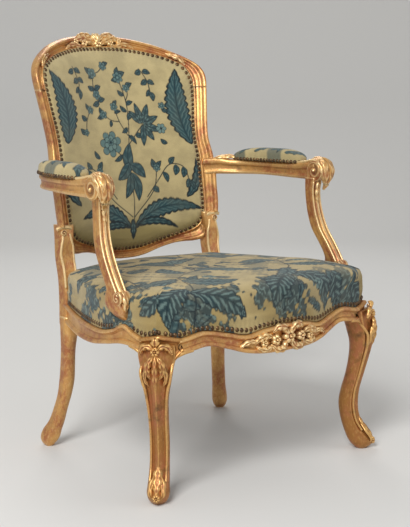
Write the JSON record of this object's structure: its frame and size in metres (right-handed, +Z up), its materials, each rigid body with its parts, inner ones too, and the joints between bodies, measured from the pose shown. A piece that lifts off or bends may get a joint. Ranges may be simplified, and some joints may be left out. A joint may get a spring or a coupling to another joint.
{
  "type": "open armchair",
  "caption": "Carved gilt open armchair with curved legs, a hollowed upholstered back, padded arms and a fixed padded seat.",
  "frame": {"origin": "on the floor, in the middle of the chair's width and depth", "axes": "+Z up, the chair's front looks along -Y, +X is on the right seen from the front"},
  "size_m": [0.659, 0.7149, 0.9242],
  "materials": {
    "giltwood": "worn water gilding over warm bole on carved beech",
    "plain_wood": "plain beech",
    "jute": "plain jute",
    "stuffing": "curled hair and wadding",
    "needlework": "ribbed needlework with a floral pattern",
    "rear_cloth": "plain woven cloth",
    "dark_cloth": "thin black cambric",
    "bronze_nails": "darkened antique brass"
  },
  "bodies": {
    "root": {"front_leg_right": "giltwood", "front_leg_left": "giltwood", "back_post_right": "giltwood", "back_post_left": "giltwood", "crest_rail": "giltwood", "lower_back_rail": "giltwood", "front_seat_rail": "giltwood", "rear_seat_rail": "giltwood", "side_seat_rail_right": "giltwood", "side_seat_rail_left": "giltwood", "arm_right": "giltwood", "arm_left": "giltwood", "arm_support_right": "giltwood", "arm_support_left": "giltwood", "corner_blocks": "plain_wood", "joint_pegs": "plain_wood", "seat_webbing": "jute", "seat_hessian": "jute", "seat_stuffing": "stuffing", "seat_cover": "needlework", "seat_dust_cover": "dark_cloth", "seat_nails": "bronze_nails", "back_webbing": "jute", "back_hessian": "jute", "back_stuffing": "stuffing", "back_cover_front": "needlework", "back_cover_rear": "rear_cloth", "back_front_nails": "bronze_nails", "back_rear_nails": "bronze_nails", "arm_pad_stuffing_right": "stuffing", "arm_pad_stuffing_left": "stuffing", "arm_pad_cover_right": "needlework", "arm_pad_cover_left": "needlework", "arm_pad_nails_right": "bronze_nails", "arm_pad_nails_left": "bronze_nails"}
  },
  "joints": []
}
